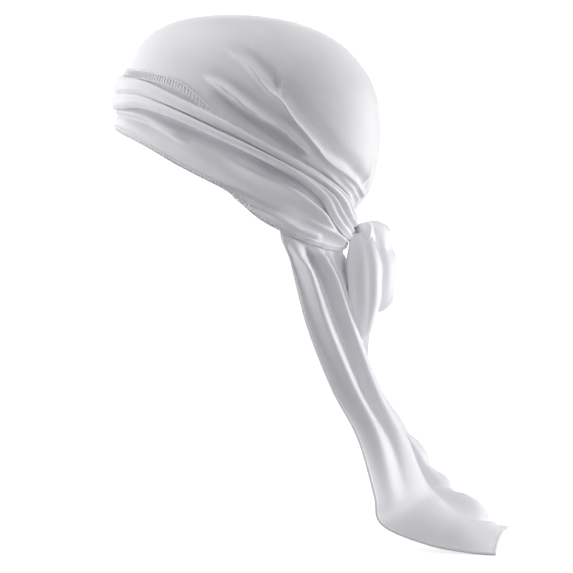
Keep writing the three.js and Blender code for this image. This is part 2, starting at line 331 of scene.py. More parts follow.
# %% Crown surface
CROWN_COLUMNS, CROWN_ROWS, LINING_ROWS = 400, 190, 44
RIM_INSET = 4
SWEEP, SWEEP_DROPS = 50, (10, 115)
SIDE_CROWDING = 15
SEEN_ROWS = 0.92
SEEN_BELOW = 6
CROWN_FOLDS = {
    # height, flank above, flank below, dip, reach, fade in, fade out, path of turn and drop
    "long drag fold": (5.0, 1.6, 2.2, 3.4, -8, 0.16, 0.92, [
        (79, 23), (91, 38), (98, 55), (104, 64), (109, 77), (117, 92), (125.5, 107), (139, 119), (151, 129),
        (164, 138)]),
    "slope beside the long fold": (3.4, 1.8, 13.0, 2.0, -11, 0.3, 0.9, [
        (91, 39), (98, 56), (104, 65), (109, 78), (117, 93), (125.5, 108), (139, 120), (151, 130)]),
    "gathers above the strap": (2.0, 5.0, 3.0, 0, 5, 0.2, 0.9, [
        (110, 100), (120, 112), (130, 121), (145, 134), (162, 145)]),
    "short branch": (2.6, 1.2, 1.6, 0.8, 4, 0.5, 0.6, [
        (107.5, 36), (106, 46), (105.2, 56), (106, 68)]),
    "lower drag fold": (6.4, 2.2, 1.5, 2.0, -7, 0.2, 0.92, [
        (69, 45), (78, 54), (86.5, 65.4), (95, 76.4), (103.6, 85), (110.4, 95), (117, 104)]),
    "hollow under the lower fold": (-4.4, 4.0, 7.0, 0, 5, 0.25, 0.5, [
        (74, 56), (80, 63), (88.6, 75), (97, 86), (106, 98), (114, 108)]),
    "first pull to the knot": (3.2, 1.7, 2.6, 1.0, 6, 0.3, 0.6, [
        (120, 109), (133, 124), (152, 140), (166, 148)]),
    "second pull to the knot": (2.6, 1.7, 2.4, 0.8, 5, 0.3, 0.5, [
        (128, 113), (141, 126), (156, 137), (174, 147)]),
    "nape pleat": (1.6, 2.6, 4.0, 0.8, -4.0, 0.4, 0.6, [
        (166, 103), (162.5, 114), (159, 131), (160, 138)]),
}
FOLDS_END = (-3, 7)


def crown_place(round_, down):
    """Turn and drop on the crown: the columns crowd at the sides and sweep back on the way down."""
    start = 360 * round_ + SIDE_CROWDING * np.sin(4 * np.pi * round_)
    swept = SWEEP * np.sin(np.radians(start))
    low = start + swept
    rim = level_at(strap_edge(UNDER_LOW, low) - RIM_INSET)
    seen = level_at(np.minimum(strap_edge(UNDER_TOP, low), strap_edge(OVER_TOP, low)) + SEEN_BELOW)
    above = np.minimum(down / SEEN_ROWS, 1) * seen
    level = above + np.clip((down - SEEN_ROWS) / (1 - SEEN_ROWS), 0, 1) * (rim - seen)
    drop = spline(HEAD[:, 0], level, before=1)
    return start + swept * smoothstep(drop, *SWEEP_DROPS), drop


def crown_base(round_, down):
    """Crown without its folds."""
    return head_point(*crown_place(round_, down))


def crown_height(turn, drop):
    """Height of the folds, flat again where the straps cover the crown."""
    strap_top = np.minimum(strap_edge(UNDER_TOP, turn), strap_edge(OVER_TOP, turn))
    return fold_height(*fold_place(turn, drop), CROWN_FOLDS) * smoothstep(strap_top - drop, *FOLDS_END)


def crown_surface(round_, down, inner=False):
    """Head plus folds along the normal. The inner wall lies a wall below and follows only the hollows."""
    turn, drop = crown_place(round_, down)
    height = crown_height(turn, drop)
    height = np.minimum(height, 0) - WALL / 2 if inner else height + WALL / 2
    return head_point(turn, drop) + surface_normal(crown_base, round_, down) * height[..., None]


EAR_CENTRE, EAR_REACH, EAR_RADIUS = np.array([13, 0, -90]), np.array([98, 77, 92]), 90


def crown_uv(points):
    """Cloth of a side panel laid flat about the ear: distance from the ear as an arc, along x and z."""
    x, y, z = np.moveaxis((points - EAR_CENTRE) / EAR_REACH, -1, 0)
    arc = EAR_RADIUS * np.arctan2(np.hypot(x, z), np.abs(y)) / np.maximum(np.hypot(x, z), 1e-6)
    return np.stack([arc * x, arc * z], -1)


u, v = parameters(CROWN_COLUMNS, CROWN_ROWS + 1, ring=True)
outer = crown_surface(u[:, 1:], v[:, 1:])
u, v = parameters(CROWN_COLUMNS, LINING_ROWS + 1, ring=True)
lining = crown_surface(u[:, :0:-1], v[:, :0:-1], inner=True)
points = np.concatenate([outer, lining], 1)
uv = crown_uv(np.concatenate([points, points[:1]]))
top, below_top = head_point(0, 0) + (0, 0, WALL / 2), head_point(0, 0) - (0, 0, WALL / 2)
crown = grid_object("durag_crown", points, uv, ring=True, first=(top, (0, 140)), last=(below_top, (0, 140)))
print(crown.name, len(crown.data.polygons), "faces")

# %% [markdown]
# ## Under strap
# The under strap is the broad band that lies on the brow and the temple. Its edges are overlocked, and
# below the over strap it is drawn into soft ridges that run back to the knot. It is one closed ring, with
# the way round and the way across as its parameters.

# %% Under strap surface
STRAP_COLUMNS, UNDER_ROWS, OVER_ROWS = 440, 52, 60
UNDER_FOLDS = {
    "brow roll": (4.0, 5, 1.6, 0.9, 3.5, 0.05, 0.85, [
        (-20, 72), (0, 72), (20, 72.5), (40, 76.5), (54, 85), (67, 97)]),
    "lower brow roll": (2.0, 4, 4, 0.3, 4, 0.05, 0.8, [(-20, 82), (0, 82), (20, 83), (40, 89), (56, 99)]),
    "ridge to the knot": (7.0, 1.8, 5.0, 0.9, 10, 0.28, 0.97, [
        (78, 103), (88.6, 112), (100, 121.5), (111.6, 131), (123, 141), (141, 154), (166, 168)]),
    "ridge along the hem": (5.2, 2.2, 3.4, 1.2, -5, 0.3, 0.9, [
        (70, 121), (80, 130), (93.6, 140.6), (108.8, 150.5), (122.5, 159.5), (140, 166.5)]),
    "last pleat": (3.0, 1.5, 3.4, 1.0, -2.5, 0.3, 0.97, [(120, 148.5), (140, 160), (158, 167.5), (174, 171)]),
    "temple crease": (1.4, 2.2, 1.2, 0.7, 2.2, 0.3, 0.8, [(20, 50), (39, 51.5), (48, 56), (56, 63)]),
}
BELLY_HEIGHT, BELLY_SPAN = 4.0, (3, 11)
BELLY_TURNS = ((40, 62), (105, 125))
EDGE_LIFT, UNDER_EDGE = 0.9, 0.1


def strap_point(turn, across, top, low, lift):
    """Point across a strap at a turn, between the drops of its two edges."""
    drop = strap_edge(top, turn) * (1 - across) + strap_edge(low, turn) * across
    return head_point(turn, drop, lift)


def under_strap(round_, across):
    """Ring one layer off the head. Its folds fade out where the over strap lies on it, and below that strap
    it swells into a belly, so that a deep groove is left between the two. Its upper edge lies on the crown."""
    turn = 360 * round_
    drop = strap_edge(UNDER_TOP, turn) * (1 - across) + strap_edge(UNDER_LOW, turn) * across
    below = smoothstep(drop - strap_edge(OVER_LOW, turn), -1, 5)
    above = smoothstep(strap_edge(OVER_TOP, turn) - drop, -1, 4)
    height = fold_height(*fold_place(turn, drop), UNDER_FOLDS) * np.maximum(below, above)
    side = side_turn(turn)
    belly = BELLY_HEIGHT * smoothstep(drop - strap_edge(OVER_LOW, turn), *BELLY_SPAN)
    belly = belly * smoothstep(side, *BELLY_TURNS[0]) * (1 - smoothstep(side, *BELLY_TURNS[1]))
    height = height + belly * (1 - smoothstep(across, 0.7, 1.0))
    lift = LAYER + strap_tuck(turn) + height
    edge = 1 - smoothstep(across, 0, UNDER_EDGE)
    return head_point(turn, drop, lift + (EDGE_LIFT - lift) * edge)


u, v = parameters(STRAP_COLUMNS, UNDER_ROWS, ring=True)
points = under_strap(u, v)
under = thicken(grid_object(
    "durag_strap_under", points, cloth_uv(np.concatenate([points, points[:1]])), ring=True))
print(under.name, len(under.data.polygons), "faces")

# %% [markdown]
# ## Over strap
# The second turn of strap is gathered into two round rolls with a dark valley between them, and its edges
# are rolled under. A height over the head can't overhang, so the strap is a profile carried round the head
# instead: a short table goes from the tucked upper edge over both rolls to the tucked lower edge. Near the
# knot the rolls break up into pleats.

# %% Over strap surface
OVER_PROFILE = np.array([
    # across, rise
    [0.12, -0.15], [0.02, 0.02], [0.00, 0.45], [0.08, 0.86], [0.24, 1.00], [0.40, 0.84], [0.48, 0.42],
    [0.505, 0.12], [0.53, 0.42], [0.60, 0.86], [0.74, 1.00], [0.90, 0.84], [1.00, 0.42], [0.98, 0.02],
    [0.86, -0.15],
])
UPPER_ROLL = [3.0, 3.0, 3.6, 5.0, 6.2, 6.6, 5.0, 3.4, 2.6, 2.4]
LOWER_ROLL = [2.6, 3.0, 4.2, 7.4, 9.8, 9.8, 5.8, 3.2, 2.6, 2.4]
VALLEY = [0.50, 0.50, 0.52, 0.55, 0.56, 0.52, 0.46, 0.42, 0.45, 0.50]
PLEATS, PLEAT_HEIGHT, PLEAT_TURNS = 3.5, 1.5, (108, 140)
CREASE_HEIGHT = 0.3
EDGE_TURNS, EDGE_SPAN = (82, 96), (0.02, 0.15)


def over_strap(round_, along):
    """Profile carried round the head two layers off it: across and rise come from the table, a power of
    across moves the valley, the rise is scaled by the height of the upper or the lower roll, and cosine
    pleats join in near the knot. Behind the ear the upper edge comes down on to the crown."""
    turn = 360 * round_
    side = side_turn(turn)
    across, rise = np.moveaxis(spline(OVER_PROFILE, along * (len(OVER_PROFILE) - 1)), -1, 0)
    upper, lower, valley = (
        spline(table, side / STRAP_STEP, before=1, after=1) for table in (UPPER_ROLL, LOWER_ROLL, VALLEY))
    height = upper + (lower - upper) * smoothstep(across, 0.4, 0.6)
    across = np.clip(across, 0, None) ** (np.log(valley) / np.log(0.5))
    pleats = np.cos(2 * np.pi * PLEATS * across + 0.4) * smoothstep(side, *PLEAT_TURNS) * PLEAT_HEIGHT
    creases = CREASE_HEIGHT * np.sin(2 * np.pi * (4.3 * across + 0.9 * np.sin(np.radians(2.3 * turn))))
    lift = 2 * LAYER + strap_tuck(turn) + height * rise
    edge = smoothstep(side, *EDGE_TURNS) * (1 - smoothstep(along, *EDGE_SPAN))
    lift = lift + (EDGE_LIFT - lift) * edge
    lift = lift + (pleats + creases) * np.sin(np.pi * np.clip(across, 0, 1))
    return strap_point(turn, across, OVER_TOP, OVER_LOW, lift)


u, v = parameters(STRAP_COLUMNS, OVER_ROWS, ring=True)
points = over_strap(u, v)
over = thicken(grid_object(
    "durag_strap_over", points, cloth_uv(np.concatenate([points, points[:1]])), ring=True))
print(over.name, len(over.data.polygons), "faces")

# %% [markdown]
# ## Overlock stitches
# Both edges of the strap are overlocked: short threads lie across the edge like the rungs of a ladder, and a
# thread runs along each side of them. A bump could draw them, but the rungs catch the light one by one, so
# each one is a short tube that follows the strap's own surface. Upper rungs show only on the front.

# %% Ladder stitches
RUNG_STEPS, RAIL_RADIUS, RAIL_RISE = 6, 0.4, 0.1
LADDERS = {
    # edge it is measured from, first and last millimetre below it, turns, number, radius and rise of the rungs
    "upper": (UNDER_TOP, 0.5, 6.2, (-86, 86), 110, 0.5, 0.25),
    "lower": (UNDER_LOW, -2.6, 0.4, (-176, 176), 216, 0.4, 0.0),
}


def on_strap(turn, below, edge, rise):
    """Point a little above the under strap, at a distance below one of its edges, and the normal there."""
    top, low = strap_edge(UNDER_TOP, turn), strap_edge(UNDER_LOW, turn)
    across = (strap_edge(edge, turn) + below - top) / (low - top)
    normal = surface_normal(under_strap, turn / 360, across)
    height = np.broadcast_to(WALL / 2 + rise, across.shape)
    return under_strap(turn / 360, across) + normal * height[..., None], normal


stitches = []
for name, (edge, start, end, turns, count, radius, rise) in LADDERS.items():
    turn, below = np.meshgrid(np.linspace(*turns, count), np.linspace(start, end, RUNG_STEPS), indexing="ij")
    arch = rise * np.sin(np.pi * (below - start) / (end - start))
    rungs = on_strap(turn, below, edge, arch)
    stitches.append(tube_object("durag_rungs_" + name, *rungs, radius, sides=4))
    turn, below = np.meshgrid(np.linspace(*turns, 3 * count), [start, end])
    rails = on_strap(turn, below, edge, RAIL_RISE)
    stitches.append(tube_object("durag_rails_" + name, *rails, RAIL_RADIUS, sides=5))
print({piece.name: len(piece.data.polygons) for piece in stitches})

# %% [markdown]
# ## Tail
# The tail is the loose cloth behind: it leaves the straps round the nape, narrows under the bow, and
# sweeps down and back until its hem lies on the table. Five guide lines down the cloth give its hang, from
# the near edge to the far edge, and splines fill in between. Rolls and valleys along it are added along
# the normal, with rounder bumps on the far side where the cloth piles up.

# %% Tail surface
TAIL_DOWN, TAIL_ACROSS = 190, 230
TAIL_TURNS = [113, 146, 180, 214, 247]
TAIL_TUCKS = (-13, 2)
TAIL_GUIDES = np.array([
    # near edge, near ridge, middle, far ridge, far edge
    [[44, -48, -180], [74, -32, -184], [85, 0, -186], [75, 32, -186], [45, 57, -181]],
    [[48, -44, -196], [82, -29, -199], [85, 0, -201], [82, 32, -202], [48, 57, -196]],
    [[58, -42, -234], [94, -24, -236], [86, 2, -238], [95, 30, -240], [58, 58, -235]],
    [[76, -44, -279], [112, -18, -282], [104, 5, -284], [113, 28, -286], [77, 60, -280]],
    [[95, -48, -315], [132, -14, -320], [128, 8, -323], [141, 27, -324], [98, 64, -318]],
    [[107, -55, -356], [144, -14, -357], [148, 8, -356], [169, 30, -360], [116, 66, -358]],
    [[113, -54, -379], [153, -14, -369], [164, 8, -373], [189, 33, -374], [134, 67, -379]],
    [[147, -60, -393], [166, -16, -381], [180, 9, -384], [198, 37, -385], [166, 67, -391]],
    [[177, -67, -397.8], [181, -20, -389], [194, 10, -392], [205, 40, -393], [194, 66, -396.5]],
    [[196, -72, -398.7], [201, -24, -397.6], [206, 11, -396.8], [212, 42, -397.6], [215.6, 64, -398.7]],
], float)
TAIL_START = (0.07, 0.17)
TAIL_FOLDS = [
    # across at the top and at the hem, height at the top, height lower down, width, from, to
    (0.062, 0.075, 14.0, 8.0, 0.036, 0.40, 0.74),
    (0.122, 0.145, -6.0, -4.0, 0.024, 0.45, 0.66),
    (0.196, 0.205, 6.0, 3.0, 0.026, 0.35, 0.60),
    (0.252, 0.245, -5.0, -2.0, 0.019, 0.20, 0.38),
    (0.40, 0.42, 3.5, 3.5, 0.030, 0.45, 0.80),
    (0.49, 0.51, -3.0, -3.0, 0.030, 0.45, 0.80),
    (0.62, 0.60, 4.0, 3.5, 0.035, 0.40, 0.70),
    (0.86, 0.86, -6.0, -5.0, 0.045, 0.40, 0.68),
    (0.945, 0.945, 4.5, 4.5, 0.040, 0.40, 0.70),
]
FOLD_CHANGE = (0.17, 0.42)
PILE_ACROSS, PILE_WIDTH = 0.76, 0.11
PILE_NOTCHES = [
    # down, depth, width
    (0.530, 3.0, 0.014), (0.592, 7.0, 0.013), (0.650, 5.0, 0.013), (0.845, 6.0, 0.018),
]


def tail_base(down, across):
    """Spline across the five guide lines, then down the twelve rows. The first two rows lie on the head."""
    down, across = np.broadcast_arrays(down, across)
    turn = spline(TAIL_TURNS, across * (len(TAIL_TURNS) - 1))
    tucked = [head_point(turn, strap_edge(UNDER_LOW, turn) + below, LAYER) for below in TAIL_TUCKS]
    hanging = [spline(row, across * (len(row) - 1)) for row in TAIL_GUIDES]
    rows = np.stack(tucked + hanging)
    rows = np.concatenate([2 * rows[:1] - rows[1:2], rows, 2 * rows[-1:] - rows[-2:-1]])
    place = down * (len(rows) - 3)
    start = np.clip(np.floor(place).astype(int), 0, len(rows) - 4)
    f = (place - start)[..., None]
    a, b, c, d = (np.take_along_axis(rows, (start + step)[None, ..., None], 0)[0] for step in range(4))
    return b + 0.5 * f * (c - a + f * (2 * a - 5 * b + 4 * c - d + f * (3 * (b - c) + d - a)))


def tail_surface(down, across):
    """Hanging sheet plus gaussian rolls and valleys along its normal, which fade in below the straps, less
    the notches between the bumps of the pile on the far side."""
    height = np.zeros(np.broadcast(down, across).shape)
    lower = smoothstep(down, *FOLD_CHANGE)
    for place, low_place, rise, low_rise, width, fade_from, fade_to in TAIL_FOLDS:
        fade = smoothstep(down, *TAIL_START) * (1 - smoothstep(down, fade_from, fade_to))
        middle = place + (low_place - place) * lower
        top = rise + (low_rise - rise) * lower
        height = height + top * fade * np.exp(-((across - middle) / width) ** 2)
    for place, depth, width in PILE_NOTCHES:
        notch = np.exp(-((down - place) / width) ** 2) * np.exp(-((across - PILE_ACROSS) / PILE_WIDTH) ** 2)
        height = height - depth * notch
    return tail_base(down, across) - surface_normal(tail_base, down, across) * height[..., None]


u, v = parameters(TAIL_DOWN, TAIL_ACROSS)
points = tail_surface(u, v)
tail = thicken(grid_object("durag_tail", points, cloth_uv(points)))
print(tail.name, len(tail.data.polygons), "faces")

# %% [markdown]
# ## Hem of the tail
# The cut edge of the tail is rolled and sewn into a narrow round hem. It could be a bevel on the sheet's
# edge, but a hem is thicker than the cloth, so a tube follows the tail's own edge down, across and up again.

# %% Rolled hem of the tail
HEM_RADIUS, HEM_START, HEM_STEPS = 1.15, 0.08, 260
EDGE = np.array([[HEM_START, 0], [1, 0], [1, 1], [HEM_START, 1]])
EDGE_LENGTHS = np.array([0, 260, 410, 680]) / 680
way = np.linspace(0, 1, HEM_STEPS)
down, across = (np.interp(way, EDGE_LENGTHS, EDGE[:, column]) for column in (0, 1))
hem = tube_object("durag_tail_hem", tail_surface(down, across)[None],
                  surface_normal(tail_base, down, across)[None], HEM_RADIUS, sides=8)
print(hem.name, len(hem.data.polygons), "faces")

# %% [markdown]
# ## Lines for the bow
# The straps are tied in a bow behind the nape. Its loops and its ends are strips of strap that bend once on
# their way, so each is a profile carried along a line of three points, which is easy to move by hand.

# %% Bent lines and directions
def bent_line(root, bend, tip, along):
    """Quadratic Bezier point: (1-t)^2 root + 2t(1-t) bend + t^2 tip."""
    t = np.asarray(along, float)[..., None]
    return (1 - t) ** 2 * np.array(root) + 2 * t * (1 - t) * np.array(bend) + t ** 2 * np.array(tip)


def bent_direction(root, bend, tip, along):
    """Unit slope of the same line: 2(1-t)(bend - root) + 2t(tip - bend)."""
    t = np.asarray(along, float)[..., None]
    slope = (1 - t) * (np.array(bend) - root) + t * (np.array(tip) - bend)
    return unit(slope)


def across_line(face, ahead):
    """Unit direction across a strap that looks along face and runs ahead."""
    return unit(np.cross(np.broadcast_to(face, ahead.shape), ahead))


# %% [markdown]
# ## Knot
# The knot is a lump of strap with wraps drawn tight across it. A knotted cord of strap would be hidden in
# itself, so the lump is a ball of three radii whose surface rises and falls with slanted wraps and pleats.

# %% Knot
KNOT_CENTRE, KNOT_RADII = (100.9, 0, -166), (8, 12, 10)
KNOT_COLUMNS, KNOT_ROWS = 96, 66
WRAP_HEIGHT, PLEAT_SHARE = 0.11, 0.03


def knot_surface(round_, down):
    """Ball of three radii with three slanted wraps and fine pleats that follow them."""
    angle, polar = 2 * np.pi * round_, np.pi * down
    wrap = np.cos(3 * angle + 2.5 * polar)
    pleat = np.cos(14 * angle + 6 * polar)
    lump = 1 + np.sin(polar) * (WRAP_HEIGHT * wrap + PLEAT_SHARE * pleat)
    flat = np.sin(polar) * lump
    shape = np.stack([flat * np.cos(angle), flat * np.sin(angle), lump * np.cos(polar)], -1)
    return np.array(KNOT_CENTRE) + shape * np.array(KNOT_RADII)


u, v = parameters(KNOT_COLUMNS, KNOT_ROWS, ring=True)
points = knot_surface(u, v)
uv = cloth_uv(np.concatenate([points, points[:1]]))
knot = grid_object("durag_knot", points[:, 1:-1], uv[:, 1:-1], ring=True,
                   first=(points[0, 0], (0, 0)), last=(points[0, -1], (0, 40)))
print(knot.name, len(knot.data.polygons), "faces")

# %% [markdown]
# ## Bow loops
# Each loop is a strap that goes out, turns and comes back to the knot. A ring pressed flat would look like
# paper, so the two walls stand apart in the middle, close towards the edges and carry pleats from the knot.

# %% Bow loops
LOOPS = {
    "left": dict(root=(97.5, -9.5, -164), bend=(102, -27, -196), tip=(99, -13, -244), face=(0.2, -1, 0.1),
                 widths=(16, 29, 12), depth=6.5, droop=26, pleat=0.6, pinch=0.1),
    "right": dict(root=(101, 14, -163), bend=(119, 42, -157), tip=(112, 30, -226), face=(0.1, 1, 0.2),
                  widths=(11, 26, 21), depth=12, droop=34, pleat=0.6, pinch=0.35),
}
PINCH_AT, PINCH_WIDTH = 0.52, 0.12
EDGES_CLOSE, OPENING = 3.2, (-0.1, 0.4)
PLEAT_COUNT, PLEAT_START, PLEAT_FADE = 2.6, 0.2, 0.6
LOOP_COLUMNS, LOOP_ROWS = 120, 34


def loop_surface(loop):
    """Out along one wall and back along the other: the belly is depth sin(phase), flatter at the edges. The
    edges stop short of the tip by droop times the square of the way across, so the loop ends round. Pleats
    fan out from the knot, and a pinch half way parts a loop into two soft lobes."""
    face = unit(np.array(loop["face"], float))
    line = (loop["root"], loop["bend"], loop["tip"])

    def surface(round_, across):
        phase = 2 * np.pi * round_
        out = 0.5 - 0.5 * np.cos(phase)
        offset = across - 0.5
        opened = smoothstep(out, *OPENING) * (1 - EDGES_CLOSE * offset ** 2)
        pleats = np.cos(2 * np.pi * (PLEAT_COUNT * offset + PLEAT_START))
        pleats = pleats * np.sin(np.pi * np.clip(out, 0, 1)) ** PLEAT_FADE
        pinch = 1 - loop["pinch"] * np.exp(-((out - PINCH_AT) / PINCH_WIDTH) ** 2)
        belly = loop["depth"] * np.sin(phase) * opened * pinch + loop["pleat"] * pleats
        ahead = bent_direction(*line, out)
        side = across_line(face, ahead)
        sideways = offset * spline(loop["widths"], out * 2) * pinch
        back = loop["droop"] * offset ** 2 * out ** 3
        point = bent_line(*line, out) + face * belly[..., None] + side * sideways[..., None]
        return point - ahead * back[..., None]
    return surface


bow_loops = {}
for name, loop in LOOPS.items():
    u, v = parameters(LOOP_COLUMNS, LOOP_ROWS, ring=True)
    points = loop_surface(loop)(u, v)
    uv = cloth_uv(np.concatenate([points, points[:1]]))
    bow_loops[name] = thicken(grid_object("durag_bow_loop_" + name, points, uv, ring=True))
print([piece.name for piece in bow_loops.values()])

# %% [markdown]
# ## Free ends
# Under the loops the two ends of the strap hang down, with a slanted cut. A flat strip would catch one even
# light, so each end is folded once along its length, like a shallow letter S.

# %% Free ends
ENDS = {
    "left": dict(root=(99, -4, -176.1), bend=(101, -7, -206), tip=(98, -4.5, -254), face=(0.8, -1, 0)),
    "right": dict(root=(100, 4, -176), bend=(105, 11, -204), tip=(101.5, 14, -240), face=(1, 0.5, 0)),
}
END_WIDTHS, END_SLANT, END_FOLD = (9, 15, 14), 13, 2.2
END_COLUMNS, END_ROWS = 70, 28


def end_surface(end):
    """Strap along a bent line with one S-shaped fold across it and a slanted cut end."""
    face = unit(np.array(end["face"], float))
    line = (end["root"], end["bend"], end["tip"])

    def surface(along, across):
        ahead = bent_direction(*line, along)
        side = across_line(face, ahead)
        offset = across - 0.5
        fold = END_FOLD * np.sin(2 * np.pi * across) * smoothstep(along, 0.05, 0.5)
        width = spline(END_WIDTHS, along * 2)
        slant = ahead * (END_SLANT * offset * along)[..., None]
        return bent_line(*line, along) + slant + face * fold[..., None] + side * (offset * width)[..., None]
    return surface


strap_ends = {}
for name, end in ENDS.items():
    u, v = parameters(END_COLUMNS, END_ROWS)
    points = end_surface(end)(u, v)
    strap_ends[name] = thicken(grid_object("durag_strap_end_" + name, points, cloth_uv(points)))
print([piece.name for piece in strap_ends.values()])

# %% [markdown]
# ## Knit and satin
# Close up, the cloth is a fine knit: columns of stitches a little over a millimetre apart. The node group
# makes that relief from the cloth's UV, in millimetres, with slow noise for the uneven tone of real cloth.

# %% Knit node group
def socket(group, name, kind, into="INPUT", value=None):
    """Named input or output of a node group."""
    made = group.interface.new_socket(name, in_out=into, socket_type=kind)
    if value is not None:
        made.default_value = value
    return made


def math_node(tree, operation, first, second=None):
    """Math node on numbers or links, and its output."""
    node = tree.nodes.new("ShaderNodeMath")
    node.operation = operation
    for slot, value in enumerate((first, second)):
        if isinstance(value, (int, float)):
            node.inputs[slot].default_value = value
        elif value is not None:
            tree.links.new(value, node.inputs[slot])
    return node.outputs[0]


knit = bpy.data.node_groups.new("knit", "ShaderNodeTree")
socket(knit, "Cloth", "NodeSocketVector")
socket(knit, "Wale", "NodeSocketFloat", value=1.3)
socket(knit, "Course", "NodeSocketFloat", value=0.9)
socket(knit, "Height", "NodeSocketFloat", "OUTPUT")
socket(knit, "Tone", "NodeSocketFloat", "OUTPUT")
given, result = knit.nodes.new("NodeGroupInput"), knit.nodes.new("NodeGroupOutput")
parts = knit.nodes.new("ShaderNodeSeparateXYZ")
knit.links.new(given.outputs["Cloth"], parts.inputs[0])
wale = math_node(knit, "DIVIDE", parts.outputs[0], given.outputs["Wale"])
course = math_node(knit, "DIVIDE", parts.outputs[1], given.outputs["Course"])
rib = math_node(knit, "ABSOLUTE", math_node(knit, "SINE", math_node(knit, "MULTIPLY", wale, np.pi)))
slant = math_node(knit, "ADD", course, math_node(knit, "MULTIPLY", rib, 0.5))
stitch = math_node(knit, "ABSOLUTE", math_node(knit, "SINE", math_node(knit, "MULTIPLY", slant, np.pi)))
ribs, stitches_share = (math_node(knit, "MULTIPLY", *pair) for pair in ((rib, 0.65), (stitch, 0.35)))
relief = math_node(knit, "ADD", ribs, stitches_share)
noise = knit.nodes.new("ShaderNodeTexNoise")
noise.inputs["Scale"].default_value = 0.035
noise.inputs["Detail"].default_value = 3
knit.links.new(given.outputs["Cloth"], noise.inputs["Vector"])
knit.links.new(relief, result.inputs["Height"])
knit.links.new(noise.outputs["Fac"], result.inputs["Tone"])
print("inputs and outputs of the knit group:", [item.name for item in knit.interface.items_tree])


# %% [markdown]
# ## Cloth
# The satin knit is white, a little blue in the thin straps, with a soft sheen. Crown, straps and tail are
# the same cloth under different pull. The bow is the strap's cloth too, but its colours are painted lighter,
# a painted light for the light that shines through its loose cloth. One function makes all four, each with its
# own colours.

# %% Cloth materials
def cloth_material(name, deep, light, roughness, relief_strength):
    """White satin knit: the colour and roughness follow the slow tone, and the relief is a bump."""
    material = bpy.data.materials.new(name)
    material.use_nodes = True
    tree = material.node_tree
    shader = tree.nodes["Principled BSDF"]
    shader.inputs["Sheen Weight"].default_value = 0.25
    shader.inputs["Sheen Roughness"].default_value = 0.4
    shader.inputs["Specular IOR Level"].default_value = 0.35
    cloth = tree.nodes.new("ShaderNodeUVMap")
    cloth.uv_map = "cloth"
    weave = tree.nodes.new("ShaderNodeGroup")
    weave.node_tree = knit
    tree.links.new(cloth.outputs[0], weave.inputs["Cloth"])
    tint = tree.nodes.new("ShaderNodeMix")
    tint.data_type = "RGBA"
    tint.inputs[6].default_value = deep
    tint.inputs[7].default_value = light
    tree.links.new(weave.outputs["Tone"], tint.inputs[0])
    tree.links.new(tint.outputs[2], shader.inputs["Base Color"])
    gloss = tree.nodes.new("ShaderNodeMapRange")
    gloss.inputs["To Min"].default_value = roughness - 0.06
    gloss.inputs["To Max"].default_value = roughness + 0.06
    tree.links.new(weave.outputs["Tone"], gloss.inputs["Value"])
    tree.links.new(gloss.outputs[0], shader.inputs["Roughness"])
    bump = tree.nodes.new("ShaderNodeBump")
    bump.inputs["Strength"].default_value = relief_strength
    bump.inputs["Distance"].default_value = 0.0002
    tree.links.new(weave.outputs["Height"], bump.inputs["Height"])
    tree.links.new(bump.outputs[0], shader.inputs["Normal"])
    return material


crown_cloth = cloth_material("crown_cloth", (0.80, 0.80, 0.83, 1), (0.88, 0.88, 0.89, 1), 0.6, 0.3)
strap_cloth = cloth_material("strap_cloth", (0.81, 0.81, 0.85, 1), (0.89, 0.89, 0.91, 1), 0.55, 0.2)
# painted light: the bow's colours are lighter than the strap cloth's and stand in for light shining through
# the loose cloth
bow_cloth_painted_light = cloth_material("bow_cloth_painted_light", (0.92, 0.92, 0.96, 1), (0.97, 0.97, 0.99, 1), 0.55, 0.2)
tail_cloth = cloth_material("tail_cloth", (0.80, 0.80, 0.84, 1), (0.88, 0.88, 0.90, 1), 0.55, 0.25)
print("cloth:", [material.name for material in (crown_cloth, strap_cloth, bow_cloth_painted_light, tail_cloth)])


# %% [markdown]
# ## Thread
# The overlock and the hem are sewn with white thread, painted lighter still than the cloth to offset the shade
# that falls between the rungs. Its twist is too fine to model, so slanting bands of colour stand for it.

# %% Thread
def thread_material(name, deep, light, twist):
    """Sewing thread: fine bands across object space stand for its twist and slightly change its colour."""
    material = bpy.data.materials.new(name)
    material.use_nodes = True
    tree = material.node_tree
    shader = tree.nodes["Principled BSDF"]
    shader.inputs["Roughness"].default_value = 0.55
    shader.inputs["Sheen Weight"].default_value = 0.2
    place = tree.nodes.new("ShaderNodeTexCoord").outputs["Object"]
    bands = tree.nodes.new("ShaderNodeTexWave")
    bands.bands_direction = "DIAGONAL"
    bands.inputs["Scale"].default_value = twist
    bands.inputs["Distortion"].default_value = 1.5
    tree.links.new(place, bands.inputs["Vector"])
    tint = tree.nodes.new("ShaderNodeMix")
    tint.data_type = "RGBA"
    tint.inputs[6].default_value = deep
    tint.inputs[7].default_value = light
    tree.links.new(bands.outputs["Fac"], tint.inputs[0])
    tree.links.new(tint.outputs[2], shader.inputs["Base Color"])
    return material


# painted light: both thread colours are lighter than the cloth to offset the shade between the rungs
thread = thread_material("white_thread_painted_lighter", (0.90, 0.90, 0.93, 1), (0.97, 0.97, 0.98, 1), 260)
print("thread:", thread.name)
